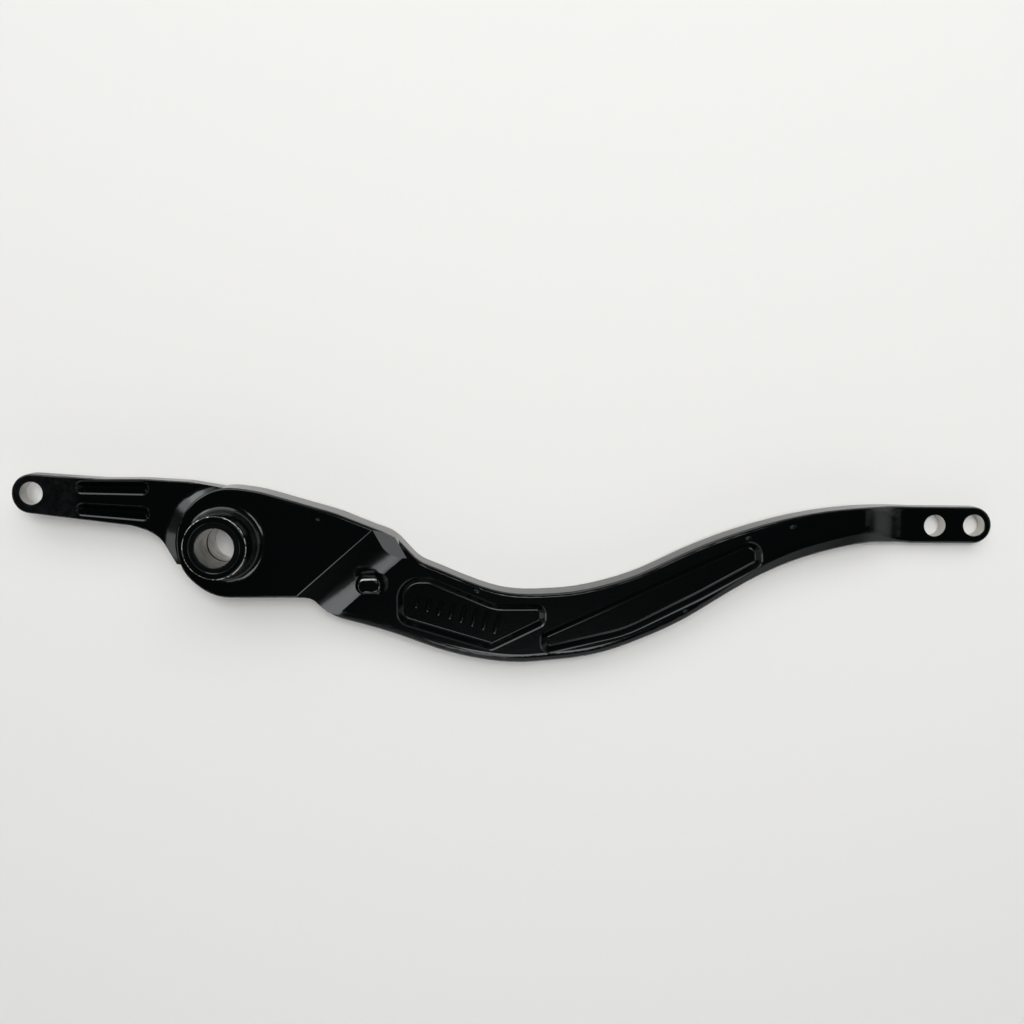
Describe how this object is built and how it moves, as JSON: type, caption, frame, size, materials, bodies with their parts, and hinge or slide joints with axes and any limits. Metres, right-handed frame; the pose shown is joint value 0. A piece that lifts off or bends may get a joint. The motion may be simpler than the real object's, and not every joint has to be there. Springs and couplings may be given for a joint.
{
  "type": "brake pedal lever arm",
  "caption": "Cast brake pedal lever arm with a bushed pivot boss, a short rod arm, a stop lug and a long curved arm ending in a drilled foot tab.",
  "frame": {"origin": "on the pivot axis, at the hub's back face, which is the level the lever lies on", "axes": "+Z along the pivot towards the lever's front, +X towards the foot tab, +Y to the side the curved arm bows away from"},
  "size_m": [0.3713, 0.0734, 0.03],
  "materials": {
    "black_paint": "gloss black paint over a cast surface",
    "bush_steel": "bare turned bore, worn by the shaft"
  },
  "bodies": {
    "root": {"lever_casting": "black_paint", "outer_pivot_bush": "bush_steel", "inner_pivot_bush": "bush_steel"}
  },
  "joints": []
}
